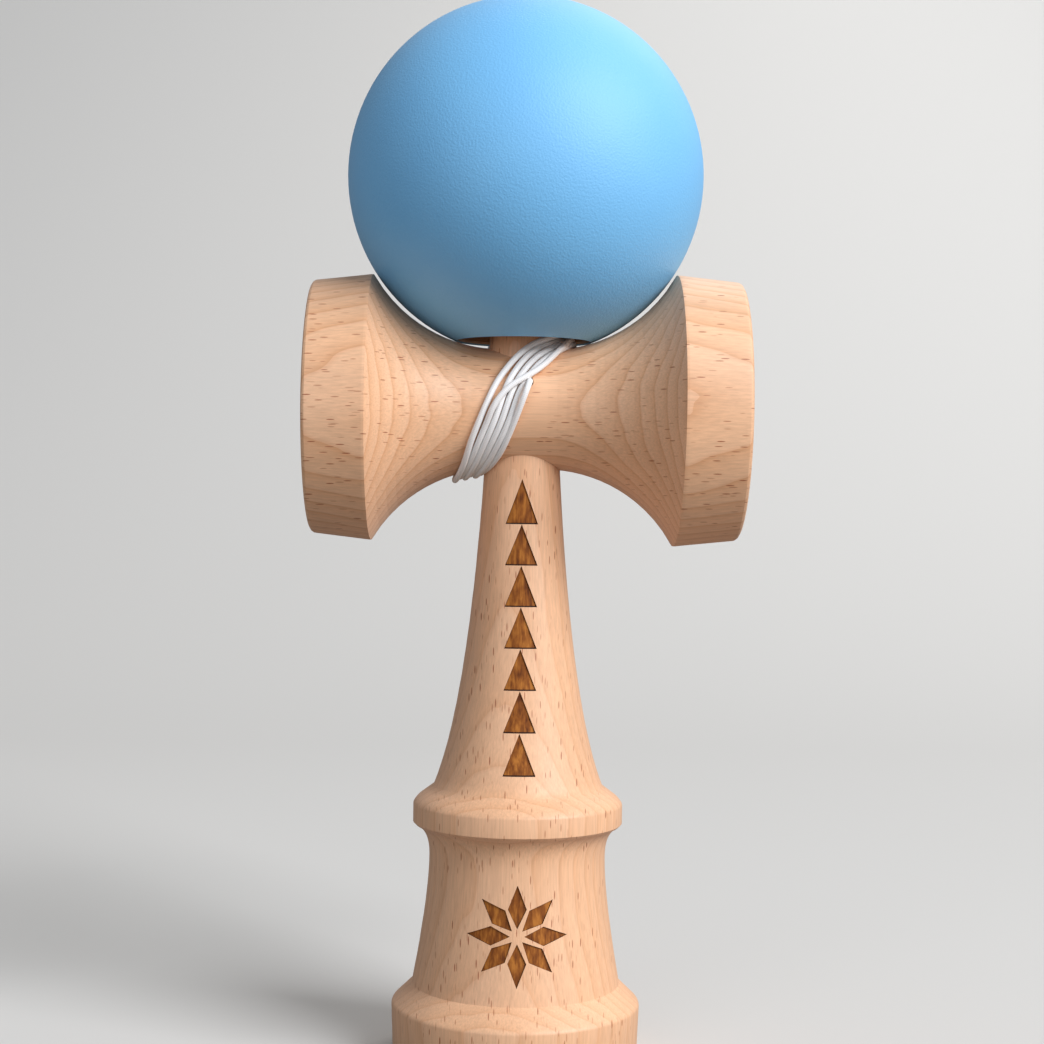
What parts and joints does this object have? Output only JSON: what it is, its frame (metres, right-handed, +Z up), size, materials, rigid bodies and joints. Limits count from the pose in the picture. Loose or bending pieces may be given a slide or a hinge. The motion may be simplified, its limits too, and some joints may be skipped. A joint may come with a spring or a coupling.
{
  "type": "kendama",
  "caption": "Wooden ball-and-cup toy: turned handle with spike and base cup, cross piece with a cup at each end, and a drilled painted ball tied on by a wound string.",
  "frame": {"origin": "on the surface the kendama stands on, under the middle of the base cup's rim", "axes": "+Z up along the handle towards the spike, +X towards the big cup, the front of the picture towards -Y"},
  "size_m": [0.0726, 0.0613, 0.1806],
  "materials": {
    "handle_beech": "turned beech, sanded, thin satin lacquer",
    "cross_beech": "turned beech, sanded, thin satin lacquer",
    "ball_paint": "beech under matte sky-blue rubberised paint, bare wood in the hole",
    "string": "white braided polyester string",
    "bead_wood": "plain turned wood"
  },
  "bodies": {
    "ken": {"handle": "handle_beech", "anchor_knot": "string", "string_tail": "string"},
    "cross_piece": {"cross_cups": "cross_beech", "string_winding": "string", "string_run": "string"},
    "string_end": {"bead": "bead_wood", "bead_knot": "string", "string_core": "string"},
    "ball": {"ball": "ball_paint"}
  },
  "joints": [
    {"name": "cross_pull", "type": "slide", "parent": "ken", "child": "cross_piece", "axis": [0, 0, 1], "range_m": [0, 0.056]},
    {"name": "ball_lift", "type": "slide", "parent": "cross_piece", "child": "string_end", "axis": [0, 0, 1], "range_m": [0, 0.06], "deforming": ["string_run"]},
    {"name": "ball_spin", "type": "hinge", "parent": "string_end", "child": "ball", "pos_m": [0, 0, 0.14936], "axis": [0, 0, 1], "continuous": true}
  ]
}
